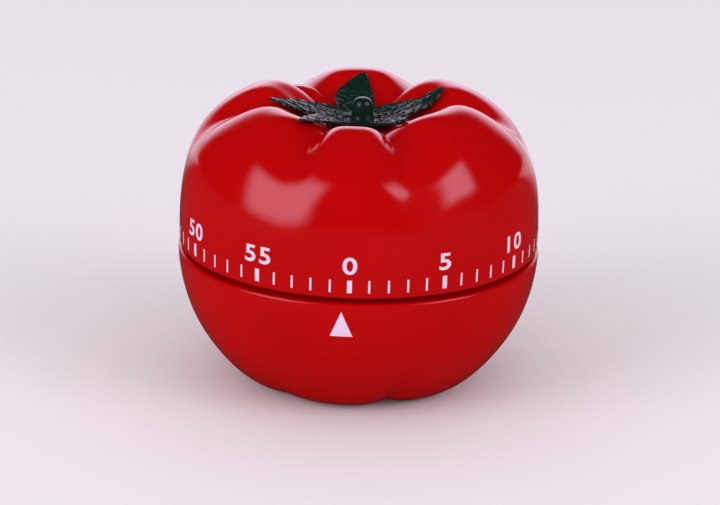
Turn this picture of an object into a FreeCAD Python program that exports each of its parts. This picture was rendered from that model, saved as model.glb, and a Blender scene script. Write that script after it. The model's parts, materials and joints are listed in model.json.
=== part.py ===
import FreeCAD
import Part
import math
import os

Vector = FreeCAD.Vector

# A spring-wound kitchen timer in the shape of a tomato. Millimetres, +Z up.
# The origin is the centre of the flat foot, on the table. The pointer faces -Y.
# Compass angles of the skin run from -Y towards +X. All other angles run from +X towards +Y.

# ---------------------------------------------------------------- driving sizes
# Skin
belt_radius = 35.6          # upper shell at its lower edge
parting_height = 28.0       # table to the upper shell's lower edge
crown_rise = 25.0             # upper shell's lower edge to the shoulder of the crown
crown_sink = 0.9              # crown floor below that shoulder
crown_radius = 7.5          # flat crown floor
foot_radius = 16.0          # flat foot
shell_wall = 2.0
groove_height = 1.2         # open gap between the two shells
rim_overhang = 0.3          # lower shell's rim stands out past the upper shell
lip_height = 2.4            # lower shell's inner lip, above the parting plane
lip_wall = 1.5
shell_gap = 0.6             # lip to the inside of the upper shell

# Crown pieces
boss_radius = 5.5
boss_length = 11.0
boss_seat = 1.0             # crown material between the boss bore and the screw head
calyx_margin = 1.7          # calyx plate inside the edge of the crown floor
calyx_thickness = 1.0
leaf_width = 8.0
leaf_lift = 0.45            # leaf underside above the skin
peg_radius = 0.9
peg_depth = 1.4
peg_circle = 5.4
stem_radius = 2.35
stem_height = 4.3
stem_right = 0.25           # stem off the axis, towards +X and towards the front
stem_front = 0.9
stem_peg_radius = 1.3

# Fasteners
plate_screw_radius = 1.0
plate_screw_head = 2.0
plate_screw_length = 7.0
bell_screw_radius = 1.0
bell_screw_head = 2.2
bell_screw_length = 3.6
dial_screw_radius = 1.0
dial_screw_head = 2.4
dial_screw_length = 8.0
head_height = 1.3
slot_width = 0.6

# Bell
bell_radius = 20.0
bell_height = 6.4
bell_wall = 0.8
bell_waist = 0.97           # bell's radius at its bend, as a share of the rim's
bell_post_radius = 3.2
bell_post_height = 2.6
sound_slot_width = 1.6
sound_slot_length = 5.0
sound_slots = 8

# Movement frame
movement_height = 13.0      # table to the underside of the bottom plate
plate_thickness = 1.0
plate_margin = 1.8          # plate edge beyond the pillar circle
pillar_circle = 26.6
pillar_radius = 1.5
pillar_stud_radius = 0.8
nut_radius = 1.8
nut_height = 1.2
post_circle = 26.2
post_radius = 2.4

# Arbors
main_arbor_radius = 2.0
main_journal_radius = 1.5
bush_wall = 1.2
arbor_radius = 0.7
pivot_radius = 0.4
end_shake = 0.1
running_gap = 0.06          # shaft to bush, on the radius
level_gap = 0.8             # between wheels that pass over each other

# Mainspring
spring_width = 5.0
spring_core_radius = 3.0
spring_outer_radius = 13.0
spring_strip = 0.3
spring_turns = 6
spring_post_radius = 1.0

# Gear train
pressure_angle = 20.0
pinion_shift = 0.35         # profile shift in modules, taken off the wheel
addendum = 0.9
dedendum = 1.25
backlash = 0.1
pinion_teeth = 10
main_module = 0.5
main_teeth = 60
second_module = 0.35
second_teeth = 54
third_module = 0.3
third_teeth = 50
fourth_module = 0.3
fourth_teeth = 50
main_wheel_thickness = 1.0
wheel_thickness = 0.6
pinion_margin = 0.3         # pinion beyond each face of its wheel
third_arbor_radius_out = 18.0    # arbors' distances from the main axis
fourth_arbor_radius_out = 18.9
escape_arbor_radius_out = 19.6
pallet_arbor_radius_out = 20.2
hammer_arbor_radius_out = 21.0

# Escapement, striker and stop
escape_radius = 4.5
escape_teeth = 15
escape_depth = 1.1
low_wheel_thickness = 1.0
pallet_distance = 6.2
pallet_spread = 42.0        # half angle between the two pallet pins
pallet_pin_radius = 0.22
pallet_gap = 0.15
lever_thickness = 0.6
inertia_reach = 4.6
star_radius = 3.4
star_teeth = 15
star_depth = 0.9
hammer_distance = 11.0
tail_pin_radius = 0.25
tail_gap = 0.2
hammer_angle = 4.5          # rest to the struck position
hammer_head_radius = 1.6
strike_gap = 0.12
hammer_spread = 80.0
cam_radius = 8.0
cam_thickness = 0.8
cam_notch_depth = 1.5
notch_before = 18.0         # notch edges either side of the lever's nose, degrees
notch_after = 10.0
stop_reach = 2.5            # stop nose beyond the cam
stop_thickness = 0.7
stop_pin_radius = 0.5
stop_clearance = 0.1
stop_pause = 6.0            # stop nose to stop pin at each end of the travel
nose_radius = 0.6
nose_gap = 0.2
nose_length = 1.4           # nose tip to the lever's arm
release_arm = 11.0
release_tail = 6.0

# Skin: where the creases are, how tall each lobe stands, how deep each crease cuts
upper_creases = [-20.3, 21.5, 98.0, 156.7, 217.0, 228.0, 276.7]
upper_heights = [0.82, 1.3, 1.04, 1.03, 0.25, 1.05, 0.92]
lower_creases = [21.5, 87.7, 147.7, 207.7, 267.7, 327.7]
lower_depths = [1.0, 0.4, 0.4, 0.4, 0.4, 0.4]
lobe_roundness = 3.0
lobe_samples = 14

# Meridian control points as (share of the belt radius, share of the height)
upper_crest = [(1.0, 0.0), (1.004, 0.18), (1.0, 0.40), (0.975, 0.70),
               (0.865, 0.985), (0.602, 1.205), (0.434, 1.145), (0.322, 0.99)]
upper_crease = [(1.0, 0.0), (1.004, 0.18), (0.998, 0.40), (0.963, 0.69),
                (0.825, 0.955), (0.532, 1.064), (0.392, 1.03), (0.308, 0.98)]
lower_crest = [(1.003, 0.82), (0.969, 0.607), (0.887, 0.375),
               (0.741, 0.129), (0.600, -0.004), (0.490, 0.0)]
lower_crease = [(1.003, 0.82), (0.969, 0.607), (0.878, 0.38),
                (0.719, 0.154), (0.560, 0.032), (0.476, 0.011)]

# ---------------------------------------------------------------- derived sizes
rim_height = parting_height - groove_height
rim_radius = belt_radius + rim_overhang
crown_height = parting_height + crown_rise - crown_sink
lip_outer = belt_radius - shell_wall - shell_gap
lip_inner = lip_outer - lip_wall

plate_radius = pillar_circle + plate_margin
plate_top = movement_height + plate_thickness
spring_low = plate_top + level_gap
spring_high = spring_low + spring_width
collar_low = spring_high + level_gap / 2
main_wheel_low = collar_low + 1.0
main_wheel_high = main_wheel_low + main_wheel_thickness
second_low = main_wheel_high + level_gap
third_low = second_low + wheel_thickness + level_gap
fourth_low = third_low + wheel_thickness + level_gap
cam_low = fourth_low + wheel_thickness + level_gap
cam_high = cam_low + cam_thickness
stop_high = cam_high + stop_thickness
top_plate_low = stop_high + level_gap
top_plate_high = top_plate_low + plate_thickness
striker_low = plate_top + 2.5
striker_high = striker_low + low_wheel_thickness
lever_low = striker_high + 0.4

pillar_angles = [50.0, 110.0, 215.0, 300.0]
post_angles = [80.0, 180.0, 260.0, 340.0]
second_angle = 30.0

main_distance = main_module * (main_teeth + pinion_teeth) / 2
second_distance = second_module * (second_teeth + pinion_teeth) / 2
third_distance = third_module * (third_teeth + pinion_teeth) / 2
fourth_distance = fourth_module * (fourth_teeth + pinion_teeth) / 2

bell_floor = shell_wall + bell_post_height
bell_rim = bell_floor + bell_height
boss_low = crown_height - shell_wall - boss_length
arbor_top = crown_height - shell_wall - boss_seat


# ---------------------------------------------------------------- small helpers
def at(radius, angle, z=0.0):
    """Point at a radius and an angle from +X."""
    turn = math.radians(angle)
    return Vector(radius * math.cos(turn), radius * math.sin(turn), z)


def heading(start, end):
    """Angle from +X of the line between two points."""
    return math.degrees(math.atan2(end.y - start.y, end.x - start.x))


def rod(radius, low, high, centre=Vector()):
    return Part.makeCylinder(radius, high - low, Vector(centre.x, centre.y, low))


def tube(outer, inner, low, high, centre=Vector()):
    return rod(outer, low, high, centre).cut(rod(inner, low - 1, high + 1, centre))


def fused(shapes):
    return shapes[0].multiFuse(shapes[1:]).removeSplitter()


def turned(edges):
    """Solid of revolution about the main axis from edges in the XZ plane."""
    return Part.Face(Part.Wire(edges)).revolve(Vector(), Vector(0, 0, 1), 360)


def line(start, end):
    return Part.LineSegment(start, end).toShape()


def arc(start, middle, end):
    return Part.Arc(start, middle, end).toShape()


def link(start, end, width, low, high):
    """Flat bar with round ends from one point to another."""
    length = math.hypot(end.x - start.x, end.y - start.y)
    bar = Part.makeBox(length, width, high - low, Vector(0, -width / 2, low))
    bar.rotate(Vector(), Vector(0, 0, 1), heading(start, end))
    bar.translate(Vector(start.x, start.y, 0))
    return fused([bar, rod(width / 2, low, high, start), rod(width / 2, low, high, end)])


def slotted(head, centre, top):
    """Screwdriver slot across a screw head."""
    reach = 4 * plate_screw_head
    slot = Part.makeBox(reach, slot_width, head_height)
    slot.translate(Vector(centre.x - reach / 2, centre.y - slot_width / 2, top - head_height / 2))
    return head.cut(slot)


def screw(head_radius, radius, length, seat, centre=Vector()):
    """Cheese-head screw whose head sits on the height `seat`."""
    head = rod(head_radius, seat, seat + head_height, centre)
    head = slotted(head, centre, seat + head_height)
    return fused([head, rod(radius, seat - length, seat, centre)])


def next_arbor(previous, radius, distance, turn=1):
    """Arbor at a radius from the main axis and a distance from the previous arbor."""
    before = math.hypot(previous.x, previous.y)
    cosine = (before ** 2 + radius ** 2 - distance ** 2) / (2 * before * radius)
    step = math.degrees(math.acos(cosine))
    return at(radius, heading(Vector(), previous) + turn * step)


# ---------------------------------------------------------------- lobed skin
def mixed(a, b, share):
    return (a[0] + (b[0] - a[0]) * share, a[1] + (b[1] - a[1]) * share)


def mixed_line(a, b, share):
    return [mixed(p, q, share) for p, q in zip(a, b)]


def inset(profile, wall):
    """Meridian control points moved inwards by the wall, square to the profile."""
    up = 1 if profile[-1][1] > profile[0][1] else -1
    moved = [(profile[0][0] - wall, profile[0][1])]
    for before, (r, z), after in zip(profile, profile[1:], profile[2:]):
        run = (after[0] - before[0], after[1] - before[1])
        size = math.hypot(*run)
        moved.append((r - up * run[1] / size * wall, z + up * run[0] / size * wall))
    moved.append((profile[-1][0], profile[-1][1] - up * wall))
    return moved


def lobe_lines(crest, crease, height, depth_start, depth_end):
    """Crest and two crease meridians of one lobe."""
    top = mixed_line(crease, crest, height)
    start = mixed_line(crest, crease, depth_start)
    end = mixed_line(crest, crease, depth_end)
    return top, start, end


def lobe_point(top, start, end, share):
    """Meridian point part way across a lobe, between its two creases."""
    edge = mixed(start, end, share)
    rise = 1 - abs(2 * share - 1) ** lobe_roundness
    return mixed(edge, top, rise)


def compass(angle, radius, z):
    turn = math.radians(angle)
    return Vector(radius * math.sin(turn), -radius * math.cos(turn), z)


def lobe_face(lines, start_angle, end_angle):
    """Surface of one lobe: a cubic spline up each meridian, interpolated across the lobe."""
    top, start, end = lines
    shares = [i / lobe_samples for i in range(lobe_samples + 1)]
    rows = []
    for k in range(len(top)):
        points = []
        for share in shares:
            r, z = lobe_point(top[k], start[k], end[k], share)
            points.append(compass(start_angle + (end_angle - start_angle) * share, r, z))
        row = Part.BSplineCurve()
        row.interpolate(Points=points, Parameters=shares)
        rows.append(row)
    spans = len(top) - 3
    knots = [i / spans for i in range(spans + 1)]
    ends_clamped = [4] + [1] * (spans - 1) + [4]
    surface = Part.BSplineSurface()
    surface.buildFromPolesMultsKnots(
        [row.getPoles() for row in rows], ends_clamped, rows[0].getMultiplicities(),
        knots, rows[0].getKnots(), False, False, 3, 3)
    return surface.toShape()


def border(faces, z):
    """Wire of the edges that lie on a height."""
    edges = []
    for face in faces:
        for edge in face.Edges:
            box = edge.BoundBox
            if abs(box.ZMin - z) < 1e-6 and abs(box.ZMax - z) < 1e-6:
                edges.append(edge)
    return Part.Wire(Part.__sortEdges__(edges))


def lobed_solid(creases, crest, crease, heights, depths):
    """Closed solid inside the lobed skin, flat at both ends."""
    faces = []
    count = len(creases)
    for i in range(count):
        following = (i + 1) % count
        end_angle = creases[following] + (360 if following == 0 else 0)
        lines = lobe_lines(crest, crease, heights[i], depths[i], depths[following])
        faces.append(lobe_face(lines, creases[i], end_angle))
    caps = [Part.Face(border(faces, crest[0][1])), Part.Face(border(faces, crest[-1][1]))]
    shell = Part.Shell(faces + caps)
    shell.sewShape()
    solid = Part.Solid(shell)
    if solid.Volume < 0:
        solid.reverse()
    return solid


def upper_profiles():
    def placed(shares):
        points = [(r * belt_radius, parting_height + z * crown_rise) for r, z in shares]
        return points + [(crown_radius, crown_height)]
    return placed(upper_crest), placed(upper_crease)


def lower_profiles():
    def placed(shares):
        points = [(r * belt_radius, z * parting_height) for r, z in shares]
        return [(rim_radius, rim_height)] + points + [(foot_radius, 0.0)]
    return placed(lower_crest), placed(lower_crease)


def skin_height(angle, radius):
    """Height of the crown's skin at a compass angle and a radius inside the crest."""
    crest, crease = upper_profiles()
    creases = upper_creases + [upper_creases[0] + 360]
    angle = (angle - creases[0]) % 360 + creases[0]
    lobe = max(i for i in range(len(upper_creases)) if creases[i] <= angle)
    share = (angle - creases[lobe]) / (creases[lobe + 1] - creases[lobe])
    lines = lobe_lines(crest, crease, upper_heights[lobe], 1, 1)
    poles = [lobe_point(*row, share) for row in zip(*lines)]
    meridian = Part.BSplineCurve()
    meridian.buildFromPoles([Vector(r, 0, z) for r, z in poles], False, 3)
    low, high = 0.4, 1.0
    for _ in range(30):
        middle = (low + high) / 2
        if meridian.value(middle).x > radius:
            low = middle
        else:
            high = middle
    return meridian.value(low).z


# ---------------------------------------------------------------- shells
def upper_shell():
    crest, crease = upper_profiles()
    depths = [1.0] * len(upper_creases)
    outside = lobed_solid(upper_creases, crest, crease, upper_heights, depths)
    inside = lobed_solid(upper_creases, inset(crest, shell_wall), inset(crease, shell_wall),
                         upper_heights, depths)
    shell = outside.cut(inside)
    shell = shell.fuse(rod(boss_radius, boss_low, crown_height - shell_wall / 2))
    shell = shell.cut(flatted_rod(main_arbor_radius + running_gap, boss_low - 1, arbor_top))
    shell = shell.cut(rod(dial_screw_radius + running_gap, arbor_top - 1, crown_height + 1))
    head_room = rod(dial_screw_head + running_gap, crown_height - head_height - running_gap,
                    crown_height + 1)
    shell = shell.cut(head_room)
    for side in (0, 180):
        hole = rod(peg_radius, crown_height - peg_depth, crown_height + 1, at(peg_circle, side))
        shell = shell.cut(hole)
    return shell


def lower_shell():
    crest, crease = lower_profiles()
    flat = [1.0] * len(lower_creases)
    outside = lobed_solid(lower_creases, crest, crease, flat, lower_depths)
    inside = lobed_solid(lower_creases, inset(crest, shell_wall), inset(crease, shell_wall),
                         flat, lower_depths)
    shell = outside.cut(inside)
    seat = tube(rim_radius - shell_wall / 2, lip_inner, rim_height - shell_wall, rim_height)
    lip = tube(lip_outer, lip_inner, rim_height - shell_wall, parting_height + lip_height)
    posts = [rod(post_radius, 0, movement_height, at(post_circle, a)) for a in post_angles]
    posts = [post.common(outside) for post in posts]
    bell_post = rod(bell_post_radius, shell_wall / 2, bell_floor)
    shell = shell.multiFuse([seat, lip, bell_post] + posts)
    for angle in post_angles:
        bottom = movement_height + plate_thickness - plate_screw_length
        shell = shell.cut(rod(plate_screw_radius, bottom, movement_height + 1,
                              at(post_circle, angle)))
    shell = shell.cut(rod(bell_screw_radius, bell_floor + bell_wall - bell_screw_length,
                          bell_floor + 1))
    for i in range(sound_slots):
        start = bell_post_radius + 2 * sound_slot_width
        angle = 360 * i / sound_slots
        slot = link(at(start, angle), at(start + sound_slot_length, angle),
                    sound_slot_width, -1, shell_wall + 1)
        shell = shell.cut(slot)
    return shell


def flatted_rod(radius, low, high):
    """Rod with one flat, for the dial's drive."""
    flat = 0.3 * radius
    keep = Part.makeBox(4 * radius, 4 * radius, high - low,
                        Vector(-2 * radius, flat - radius, low))
    return rod(radius, low, high).common(keep)


# ---------------------------------------------------------------- calyx and stem
def leaf(angle, length):
    """Tapering leaf that leaves the crown plate and stands off the skin."""
    plate_edge = crown_radius - calyx_margin
    root = compass(angle, 0.8 * plate_edge, crown_height + 0.2 * calyx_thickness)
    stations = [(0.5, 1.0, 0.9), (0.75, 0.62, 0.8), (1.0, 0.08, 0.5)]
    sections = [leaf_section(angle, root, 0.9 * leaf_width, 0.6 * calyx_thickness)]
    for share, width_share, thickness_share in stations:
        radius = length * share
        half = leaf_width * width_share / 2
        spread = math.degrees(math.atan2(half, radius))
        ground = max(skin_height(angle + side * spread, math.hypot(radius, half))
                     for side in (-1, -0.5, 0, 0.5, 1))
        place = compass(angle, radius, max(ground + leaf_lift, root.z))
        sections.append(leaf_section(angle, place, 2 * half, calyx_thickness * thickness_share))
    return Part.makeLoft(sections, True, True)


def leaf_section(angle, place, width, thickness):
    """Closed trapezium across a leaf."""
    corners = []
    for side, rise in ((-0.5, 0), (0.5, 0), (0.28, thickness), (-0.28, thickness)):
        corners.append(place + compass(angle + 90, width * side, rise))
    return Part.makePolygon(corners + corners[:1])


# Compass angle of each leaf and the distance from the axis to its tip
leaf_places = [(-29.5, 21.0), (36.5, 17.6), (112.7, 16.7), (183.0, 17.0), (277.0, 18.1)]


stem_place = Vector(stem_right, -stem_front, 0)


def calyx():
    disc = rod(crown_radius - calyx_margin, crown_height, crown_height + calyx_thickness)
    pieces = [disc] + [leaf(angle, length) for angle, length in leaf_places]
    for side in (0, 180):
        pieces.append(rod(peg_radius, crown_height - peg_depth, crown_height,
                          at(peg_circle, side)))
    body = fused(pieces)
    return body.cut(rod(stem_peg_radius, crown_height - 0.5, crown_height + 3, stem_place))


def stem():
    """Knob with a waisted neck, a domed head with a small flat, and a peg below."""
    foot = crown_height + calyx_thickness
    neck = 0.8 * stem_radius
    shoulder = foot + 0.6 * stem_height
    top = foot + stem_height
    flat = 0.3 * neck

    def point(r, z):
        return Vector(r, 0, z)
    edges = [line(point(0, crown_height), point(stem_peg_radius, crown_height)),
             line(point(stem_peg_radius, crown_height), point(stem_peg_radius, foot)),
             line(point(stem_peg_radius, foot), point(stem_radius, foot)),
             arc(point(stem_radius, foot), point(0.86 * stem_radius, foot + 0.3 * stem_height),
                 point(neck, shoulder)),
             arc(point(neck, shoulder), point(0.86 * neck, foot + 0.84 * stem_height),
                 point(flat, top)),
             line(point(flat, top), point(0, top)),
             line(point(0, top), point(0, crown_height))]
    knob = turned(edges)
    knob.translate(stem_place)
    return knob


def dial_screw():
    seat = crown_height - head_height - running_gap
    return screw(dial_screw_head, dial_screw_radius, dial_screw_length, seat)


# ---------------------------------------------------------------- bell
def bell():
    def point(r, z):
        return Vector(r, 0, bell_floor + z)
    shoulder = bell_waist * bell_radius
    floor_edge = 0.72 * bell_radius
    bend = 0.35 * bell_height
    outer_bend = point(0.92 * bell_radius, 0.12 * bell_height)
    inner_bend = point(0.92 * bell_radius - 0.7 * bell_wall, 0.12 * bell_height + 0.7 * bell_wall)
    inner_floor = point(floor_edge, bell_wall)
    inner_shoulder = point(shoulder - bell_wall, bend)
    edges = [line(point(bell_screw_radius, 0), point(floor_edge, 0)),
             arc(point(floor_edge, 0), outer_bend, point(shoulder, bend)),
             line(point(shoulder, bend), point(bell_radius, bell_height)),
             line(point(bell_radius, bell_height), point(bell_radius - bell_wall, bell_height)),
             line(point(bell_radius - bell_wall, bell_height), inner_shoulder),
             arc(inner_shoulder, inner_bend, inner_floor),
             line(inner_floor, point(bell_screw_radius, bell_wall)),
             line(point(bell_screw_radius, bell_wall), point(bell_screw_radius, 0))]
    return turned(edges)


def bell_screw():
    return screw(bell_screw_head, bell_screw_radius, bell_screw_length, bell_floor + bell_wall)


# ---------------------------------------------------------------- gears
def involute(angle):
    return math.tan(angle) - angle


def gear_profile(teeth, module, shift, phase):
    """Face of an involute gear about the main axis, one tooth centred on `phase`."""
    pitch = module * teeth / 2
    pressure = math.radians(pressure_angle)
    base = pitch * math.cos(pressure)
    root = pitch - (dedendum - shift) * module
    tip = pitch + (addendum + shift) * module
    thickness = module * (math.pi / 2 + 2 * shift * math.tan(pressure)) - backlash / 2
    half_pitch = thickness / 2 / pitch + involute(pressure)

    def flank(radius):
        return math.degrees(half_pitch - involute(math.acos(min(1.0, base / radius))))
    start = max(root, base)
    middle = (start + tip) / 2
    edges = []
    for i in range(teeth):
        centre = phase + 360 * i / teeth
        after = centre + 360 / teeth
        rising = [at(r, centre - flank(r)) for r in (start, middle, tip)]
        falling = [at(r, centre + flank(r)) for r in (tip, middle, start)]
        if root < base:
            edges.append(line(at(root, centre - flank(start)), rising[0]))
        edges += [arc(*rising), line(rising[-1], falling[0]), arc(*falling)]
        if root < base:
            edges.append(line(falling[-1], at(root, centre + flank(start))))
        foot = root if root < base else start
        edges.append(line(at(foot, centre + flank(start)), at(foot, after - flank(start))))
    return Part.Face(Part.Wire(edges))


def gear(teeth, module, shift, phase, low, high, centre=Vector()):
    solid = gear_profile(teeth, module, shift, phase).extrude(Vector(0, 0, high - low))
    solid.translate(Vector(centre.x, centre.y, low))
    return solid


def wheel(teeth, module, phase, low, thickness, centre, bore, windows):
    """Wheel with round windows between hub and rim."""
    solid = gear(teeth, module, -pinion_shift, phase, low, low + thickness, centre)
    solid = solid.cut(rod(bore, low - 1, low + thickness + 1, centre))
    rim = module * teeth / 2 - 3 * module
    hub = bore + 1.2
    for i in range(windows):
        place = centre + at((rim + hub) / 2, 360 * i / windows)
        solid = solid.cut(rod((rim - hub) / 2 - 0.6, low - 1, low + thickness + 1, place))
    return solid


def toothed_disc(teeth, radius, depth, phase, low, high, centre, bore):
    """Wheel with narrow pointed teeth, one of them centred on `phase`."""
    points = []
    for i in range(teeth):
        middle = phase + 360 * i / teeth
        points += [at(radius - depth, middle - 5.5), at(radius, middle - 1.2),
                   at(radius, middle + 1.2), at(radius - depth, middle + 5.5)]
    solid = Part.Face(Part.makePolygon(points + points[:1])).extrude(Vector(0, 0, high - low))
    solid.translate(Vector(centre.x, centre.y, low))
    return solid.cut(rod(bore, low - 1, high + 1, centre))


# ---------------------------------------------------------------- arbor places
main_place = Vector()
second_place = at(main_distance, second_angle)
third_place = next_arbor(second_place, third_arbor_radius_out, second_distance)
fourth_place = next_arbor(third_place, fourth_arbor_radius_out, third_distance)
escape_place = next_arbor(fourth_place, escape_arbor_radius_out, fourth_distance)
pallet_place = next_arbor(escape_place, pallet_arbor_radius_out, pallet_distance)
hammer_place = next_arbor(second_place, hammer_arbor_radius_out, hammer_distance, turn=-1)

star_line = heading(second_place, hammer_place)
tail_pin_place = second_place + at(star_radius + tail_gap + tail_pin_radius, star_line + 60)
struck_head = at(bell_waist * bell_radius - bell_wall - strike_gap - hammer_head_radius,
                 heading(Vector(), hammer_place) - hammer_spread)
head_arm = struck_head - hammer_place
head_place = hammer_place + at(head_arm.Length, heading(Vector(), head_arm) - hammer_angle)

nose_angle = -60.0
nose_place = at(cam_radius + nose_gap + nose_radius, nose_angle)
elbow_place = nose_place + at(nose_length, nose_angle)
release_place = elbow_place + at(release_arm, nose_angle - 90)
release_end = release_place + at(release_tail, nose_angle - 90)
stop_angle = 200.0


def mesh_phase(start, end):
    """Tooth of a wheel that points at its pinion."""
    return heading(start, end)


def gap_phase(start, end):
    """Tooth beside the pinion's gap that faces its wheel."""
    return heading(end, start) + 180 / pinion_teeth


# ---------------------------------------------------------------- movement frame
def pivot_places():
    return [second_place, third_place, fourth_place, escape_place, pallet_place]


def plate(low, high, main_bore):
    """Round movement plate with pivot holes and pillar holes."""
    body = rod(plate_radius, low, high)
    body = body.cut(rod(main_bore, low - 1, high + 1))
    for place in pivot_places():
        body = body.cut(rod(pivot_radius + running_gap, low - 1, high + 1, place))
    for angle in pillar_angles:
        body = body.cut(rod(pillar_stud_radius, low - 1, high + 1, at(pillar_circle, angle)))
    return body


def bottom_plate():
    body = plate(movement_height, plate_top, main_journal_radius + running_gap + bush_wall)
    body = body.cut(rod(arbor_radius + running_gap, movement_height - 1, plate_top + 1,
                        hammer_place))
    for angle in post_angles:
        body = body.cut(rod(plate_screw_radius, movement_height - 1, plate_top + 1,
                            at(post_circle, angle)))
    body = body.cut(rod(spring_post_radius, movement_height - 1, plate_top + 1,
                        spring_post_place()))
    return body


def top_plate():
    body = plate(top_plate_low, top_plate_high, main_arbor_radius + running_gap + bush_wall)
    body = body.cut(rod(pivot_radius + running_gap, top_plate_low - 1, top_plate_high + 1,
                        hammer_place))
    body = body.cut(rod(arbor_radius, top_plate_low - 1, top_plate_high + 1, release_place))
    window = rod(5.0, top_plate_low - 1, top_plate_high + 1, at(17.0, 165.0))
    body = body.cut(window)
    window = rod(5.0, top_plate_low - 1, top_plate_high + 1, at(17.0, 330.0))
    body = body.cut(window)
    stop = rod(stop_pin_radius, cam_high + stop_clearance, top_plate_low,
               at(stop_radius(), stop_angle))
    return fused([body, stop])


def stop_radius():
    return cam_radius + stop_reach - 0.5


def plate_pillars():
    pillars = []
    for angle in pillar_angles:
        place = at(pillar_circle, angle)
        body = rod(pillar_radius, plate_top, top_plate_low, place)
        lower_end = rod(pillar_stud_radius, movement_height, plate_top, place)
        upper_end = rod(pillar_stud_radius, top_plate_low, top_plate_high + nut_height, place)
        pillars.append(fused([body, lower_end, upper_end]))
    return Part.makeCompound(pillars)


def pillar_nuts():
    nuts = []
    for angle in pillar_angles:
        place = at(pillar_circle, angle)
        corners = [place + at(nut_radius, angle + 60 * i) for i in range(6)]
        flat = Part.Face(Part.makePolygon(corners + corners[:1]))
        nut = flat.extrude(Vector(0, 0, nut_height))
        nut.translate(Vector(0, 0, top_plate_high))
        nuts.append(nut.cut(rod(pillar_stud_radius, top_plate_high - 1,
                                top_plate_high + nut_height + 1, place)))
    return Part.makeCompound(nuts)


def plate_screws():
    return Part.makeCompound([screw(plate_screw_head, plate_screw_radius, plate_screw_length,
                                    plate_top, at(post_circle, angle)) for angle in post_angles])


def lower_bush():
    return tube(main_journal_radius + running_gap + bush_wall, main_journal_radius + running_gap,
                movement_height, plate_top + level_gap / 2)


def upper_bush():
    return tube(main_arbor_radius + running_gap + bush_wall, main_arbor_radius + running_gap,
                top_plate_low - level_gap / 2, top_plate_high + level_gap)


# ---------------------------------------------------------------- mainspring
spring_end_angle = 225.0


def spring_post_place():
    return at(spring_outer_radius + spring_post_radius + 2 * spring_strip, spring_end_angle)


def spring_post():
    return rod(spring_post_radius, movement_height, spring_high + level_gap / 4,
               spring_post_place())


def mainspring():
    """Spiral strip with an eye round its post at the outer end."""
    start_radius = spring_core_radius + 0.25
    half_turns = 2 * spring_turns
    step = (spring_outer_radius - start_radius) / half_turns

    def side(offset):
        """Half circles that grow by one step each, end to end."""
        arcs = []
        for i in range(half_turns):
            radius = start_radius + step * i + offset
            angle = spring_end_angle + 180 * (i - half_turns)
            first, last = at(radius, angle), at(radius + step, angle + 180)
            middle = (first + last) / 2 + at(radius + step / 2, angle + 90)
            arcs.append(arc(first, middle, last))
        return arcs
    inner, outer = side(0), side(spring_strip)
    ends = [line(at(radius, spring_end_angle), at(radius + spring_strip, spring_end_angle))
            for radius in (start_radius, spring_outer_radius)]
    strip = Part.Face(Part.Wire(Part.__sortEdges__(inner + outer + ends)))
    strip = strip.extrude(Vector(0, 0, spring_width))
    strip.translate(Vector(0, 0, spring_low))
    eye = tube(spring_post_radius + 2 * spring_strip, spring_post_radius, spring_low,
               spring_high, spring_post_place())
    return fused([strip, eye])


# ---------------------------------------------------------------- main arbor group
clip_low = main_wheel_high + 0.5
clip_thickness = 0.5
clip_groove = 1.5


def main_arbor():
    journal = rod(main_journal_radius, movement_height - level_gap, spring_low - level_gap / 4)
    core = rod(spring_core_radius, spring_low, spring_high)
    shaft = rod(main_arbor_radius, spring_low - level_gap / 4, boss_low)
    collar = rod(spring_core_radius + 0.6, collar_low, main_wheel_low)
    drive = flatted_rod(main_arbor_radius, boss_low - 1, arbor_top)
    arbor = fused([journal, core, shaft, collar, drive])
    groove = tube(main_arbor_radius + 1, clip_groove, clip_low, clip_low + clip_thickness)
    arbor = arbor.cut(groove)
    thread = dial_screw_length - (crown_height - head_height - running_gap - arbor_top)
    return arbor.cut(rod(dial_screw_radius, arbor_top - thread - 0.5, arbor_top + 1))


def main_wheel():
    return wheel(main_teeth, main_module, mesh_phase(main_place, second_place), main_wheel_low,
                 main_wheel_thickness, main_place, main_arbor_radius + running_gap, 5)


def clutch_spring():
    """Three-armed friction washer between the wheel and its clip."""
    arms = [rod(main_arbor_radius + 1.4, main_wheel_high, clip_low)]
    for i in range(3):
        arms.append(link(main_place, at(main_arbor_radius + 4, 120 * i + 90), 1.6,
                         main_wheel_high, main_wheel_high + 0.3))
    washer = fused(arms)
    return washer.cut(rod(main_arbor_radius + running_gap, main_wheel_high - 1, clip_low + 1))


def retaining_clip():
    """Open ring in the arbor's groove."""
    ring = tube(main_arbor_radius + 1.3, clip_groove, clip_low, clip_low + clip_thickness)
    mouth = Part.makeBox(6, 1.6, 3, Vector(0, -0.8, clip_low - 1))
    return ring.cut(mouth)


def stop_cam():
    """Cam with the striker's notch, and on top of it the nose that meets the stop pin."""
    disc = rod(cam_radius, cam_low, cam_high)
    floor = cam_radius - cam_notch_depth
    start, end = nose_angle - notch_before, nose_angle + notch_after
    corners = [at(floor, start), at(cam_radius + 2, start), at(cam_radius + 3, nose_angle),
               at(cam_radius + 2, end), at(floor, end)]
    notch = Part.Face(Part.makePolygon(corners + corners[:1]))
    notch = notch.extrude(Vector(0, 0, cam_thickness))
    notch.translate(Vector(0, 0, cam_low))
    nose = link(main_place, at(stop_radius(), stop_angle - stop_pause), 0.9, cam_high, stop_high)
    hub = rod(main_arbor_radius + 1.2, cam_high, stop_high)
    cam = fused([disc.cut(notch), nose, hub])
    return cam.cut(rod(main_arbor_radius, cam_low - 1, stop_high + 1))


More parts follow.
